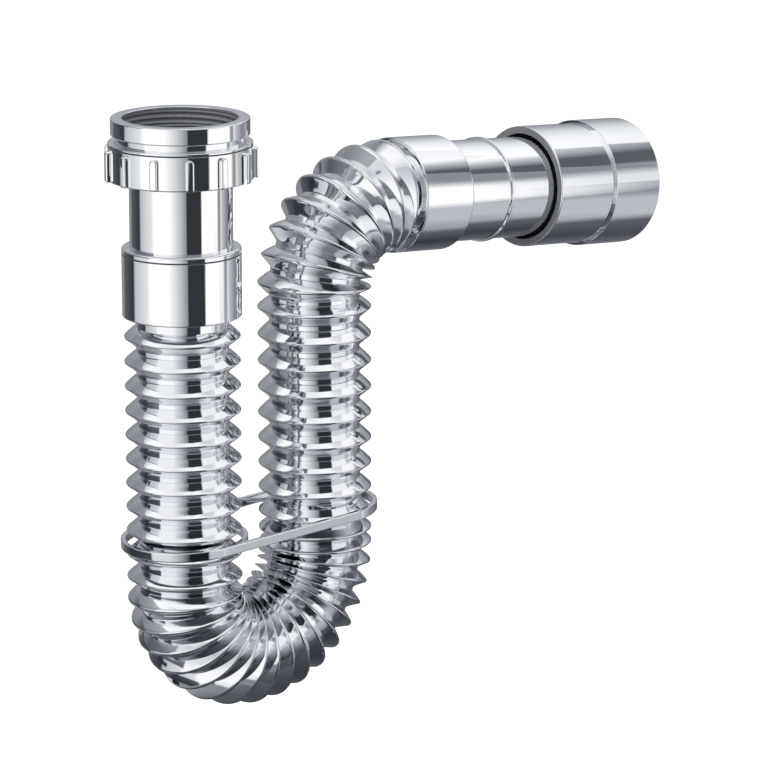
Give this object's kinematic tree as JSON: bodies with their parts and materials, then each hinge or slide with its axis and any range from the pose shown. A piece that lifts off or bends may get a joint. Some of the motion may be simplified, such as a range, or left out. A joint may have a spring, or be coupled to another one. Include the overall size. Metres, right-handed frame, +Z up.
{
  "type": "flexible sink waste trap",
  "caption": "Flexible bottle-free sink trap: ribbed union nut, tailpiece, corrugated U-shaped hose held by a clip, and a stepped push-fit outlet.",
  "frame": {"origin": "centre of the inlet collar's top face, on the inlet thread's axis", "axes": "+Z up along the inlet thread, +X in the trap's plane towards the outlet, +Y across the trap's plane"},
  "size_m": [0.2658, 0.0594, 0.2401],
  "materials": {
    "inlet_collar": "mirror chrome plating on moulded plastic",
    "inlet_washer": "matte black moulded rubber",
    "union_nut": "mirror chrome plating on moulded plastic",
    "union_washer": "matte black moulded rubber",
    "slip_ring": "natural white plastic",
    "tailpiece": "mirror chrome plating on moulded plastic",
    "inlet_cuff": "mirror chrome plating on moulded plastic",
    "corrugated_hose": "mirror chrome plating on moulded plastic",
    "leg_clip": "mirror chrome plating on moulded plastic",
    "outlet_spigot": "mirror chrome plating on moulded plastic",
    "outlet_sleeve": "mirror chrome plating on moulded plastic",
    "outlet_lip_seal": "matte black moulded rubber"
  },
  "bodies": {
    "inlet": {"inlet_collar": "inlet_collar", "inlet_washer": "inlet_washer"},
    "nut": {"union_nut": "union_nut"},
    "trap": {"union_washer": "union_washer", "slip_ring": "slip_ring", "tailpiece": "tailpiece", "inlet_cuff": "inlet_cuff"},
    "hose": {"corrugated_hose": "corrugated_hose"},
    "clip": {"leg_clip": "leg_clip"},
    "outlet": {"outlet_spigot": "outlet_spigot"},
    "sleeve": {"outlet_sleeve": "outlet_sleeve", "outlet_lip_seal": "outlet_lip_seal"}
  },
  "joints": [
    {"name": "nut_spin", "type": "hinge", "parent": "inlet", "child": "nut", "pos_m": [0, 0, -0.0167], "axis": [0, 0, 1], "continuous": true},
    {"name": "trap_swivel", "type": "hinge", "parent": "inlet", "child": "trap", "pos_m": [0, 0, -0.02], "axis": [0, 0, 1], "continuous": true},
    {"name": "inlet_stretch", "type": "slide", "parent": "trap", "child": "hose", "axis": [0, 0, -1], "range_m": [-0.03, 0.03], "deforming": ["corrugated_hose"]},
    {"name": "clip_slide", "type": "slide", "parent": "hose", "child": "clip", "axis": [0, 0, 1], "range_m": [-0.008, 0.075]},
    {"name": "outlet_swing", "type": "hinge", "parent": "hose", "child": "outlet", "pos_m": [0.07782, 0, -0.05305], "axis": [0, -1, 0], "range_deg": [-20, 45], "deforming": ["corrugated_hose"]},
    {"name": "sleeve_slide", "type": "slide", "parent": "outlet", "child": "sleeve", "axis": [0.9968, 0, -0.0802], "range_m": [0, 0.02]}
  ]
}
